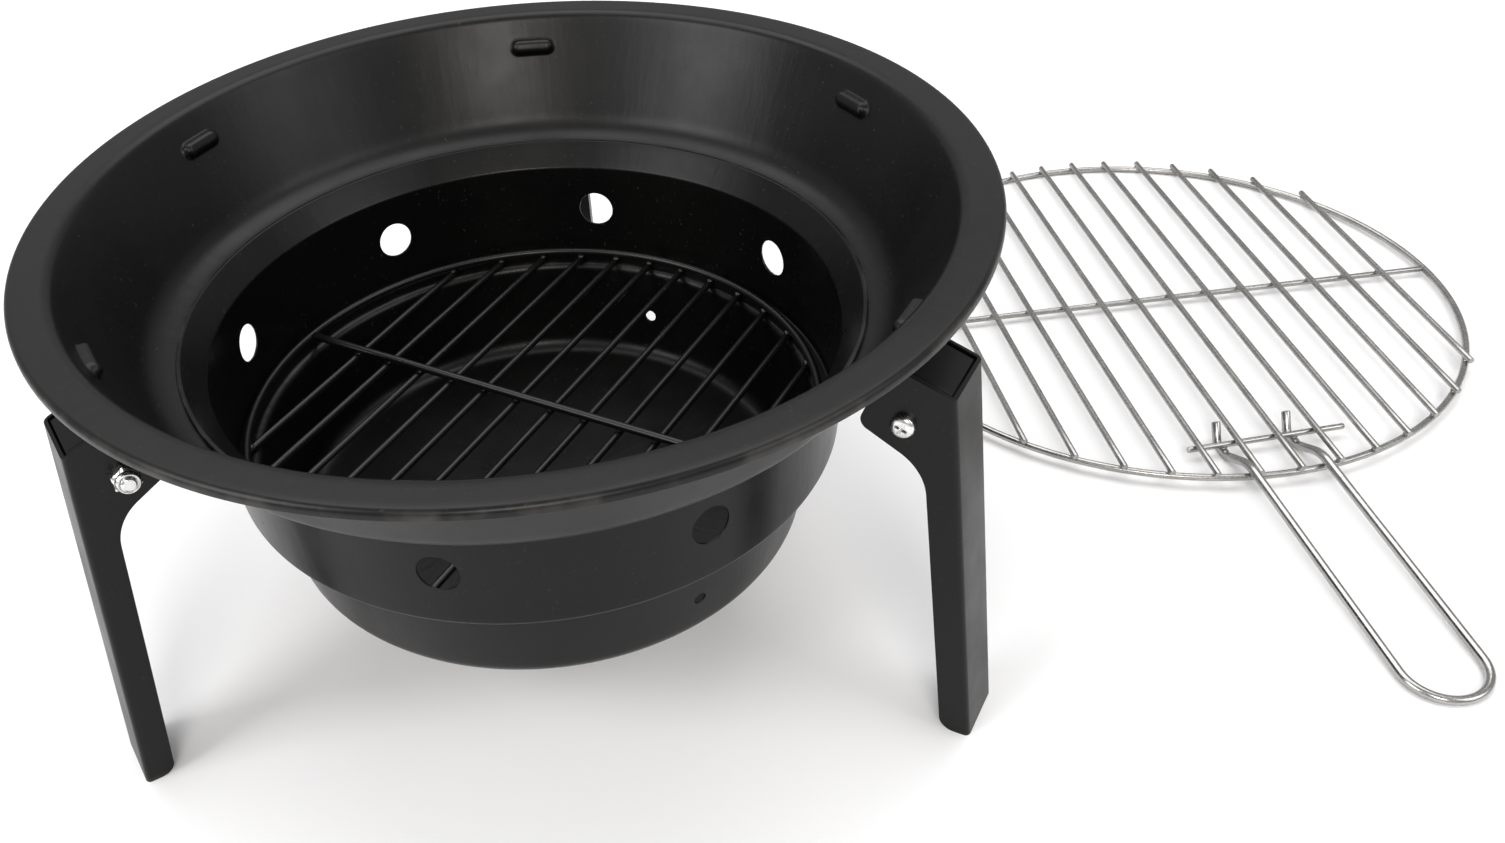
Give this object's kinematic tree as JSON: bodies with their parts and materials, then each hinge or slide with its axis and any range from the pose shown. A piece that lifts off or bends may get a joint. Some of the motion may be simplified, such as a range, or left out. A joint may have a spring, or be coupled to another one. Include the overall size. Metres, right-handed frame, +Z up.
{
  "type": "fire pit with grate",
  "caption": "Round portable fire pit: flanged ring on three folding channel legs, lift-out vented fire bowl, charcoal grate, and a wire cooking grate with a hooked lifting handle.",
  "frame": {"origin": "on the ground, on the vertical axis of the ring and the fire bowl", "axes": "+Z up, +Y towards the back, where one leg stands, +X towards the side where the cooking grate lies"},
  "size_m": [0.8929, 0.6943, 0.258],
  "materials": {
    "ring_paint": "satin black heat-resistant paint",
    "bowl_paint": "satin black heat-resistant paint",
    "leg_paint": "satin black heat-resistant paint",
    "charcoal_wire": "matte black enamelled wire",
    "bright_wire": "chrome-plated wire",
    "zinc": "bright zinc plate",
    "nylon": "natural nylon"
  },
  "bodies": {
    "stand": {"outer_ring": "ring_paint", "leg_bracket_back": "leg_paint", "pivot_screw_back": "zinc", "lock_nut_back": "zinc", "nylon_ring_back": "nylon", "leg_bracket_left": "leg_paint", "pivot_screw_left": "zinc", "lock_nut_left": "zinc", "nylon_ring_left": "nylon", "leg_bracket_right": "leg_paint", "pivot_screw_right": "zinc", "lock_nut_right": "zinc", "nylon_ring_right": "nylon"},
    "fire_bowl": {"fire_bowl": "bowl_paint"},
    "charcoal_grate": {"charcoal_grate_ring": "charcoal_wire", "charcoal_grate_bars": "charcoal_wire", "charcoal_grate_crossbar": "charcoal_wire"},
    "cooking_grate": {"cooking_grate_ring": "bright_wire", "cooking_grate_bars": "bright_wire", "cooking_grate_crossbar": "bright_wire"},
    "lifting_handle": {"handle_wire": "bright_wire", "handle_cross_wire": "bright_wire"},
    "leg_back": {"leg_back": "leg_paint"},
    "leg_left": {"leg_left": "leg_paint"},
    "leg_right": {"leg_right": "leg_paint"}
  },
  "joints": [
    {"name": "fold_leg_back", "type": "hinge", "parent": "stand", "child": "leg_back", "pos_m": [0.01055, 0.21574, 0.1945], "axis": [-0.9988, 0.0489, 0], "range_deg": [0, 40]},
    {"name": "fold_leg_left", "type": "hinge", "parent": "stand", "child": "leg_left", "pos_m": [-0.18706, -0.108, 0.1945], "axis": [0.5, -0.866, 0], "range_deg": [0, 40]},
    {"name": "fold_leg_right", "type": "hinge", "parent": "stand", "child": "leg_right", "pos_m": [0.18706, -0.108, 0.1945], "axis": [0.5, 0.866, 0], "range_deg": [0, 40]},
    {"name": "lift_fire_bowl", "type": "slide", "parent": "stand", "child": "fire_bowl", "axis": [0, 0, 1], "range_m": [0, 0.2]},
    {"name": "lift_charcoal_grate", "type": "slide", "parent": "fire_bowl", "child": "charcoal_grate", "axis": [0, 0, 1], "range_m": [0, 0.15]},
    {"name": "lift_cooking_grate", "type": "slide", "parent": "stand", "child": "cooking_grate", "axis": [0, 0, 1], "range_m": [0, 0.15]},
    {"name": "tilt_handle", "type": "hinge", "parent": "cooking_grate", "child": "lifting_handle", "pos_m": [0.45795, 0.07314, 0.0075], "axis": [-0.9907, -0.1357, 0], "range_deg": [0, 30]}
  ]
}
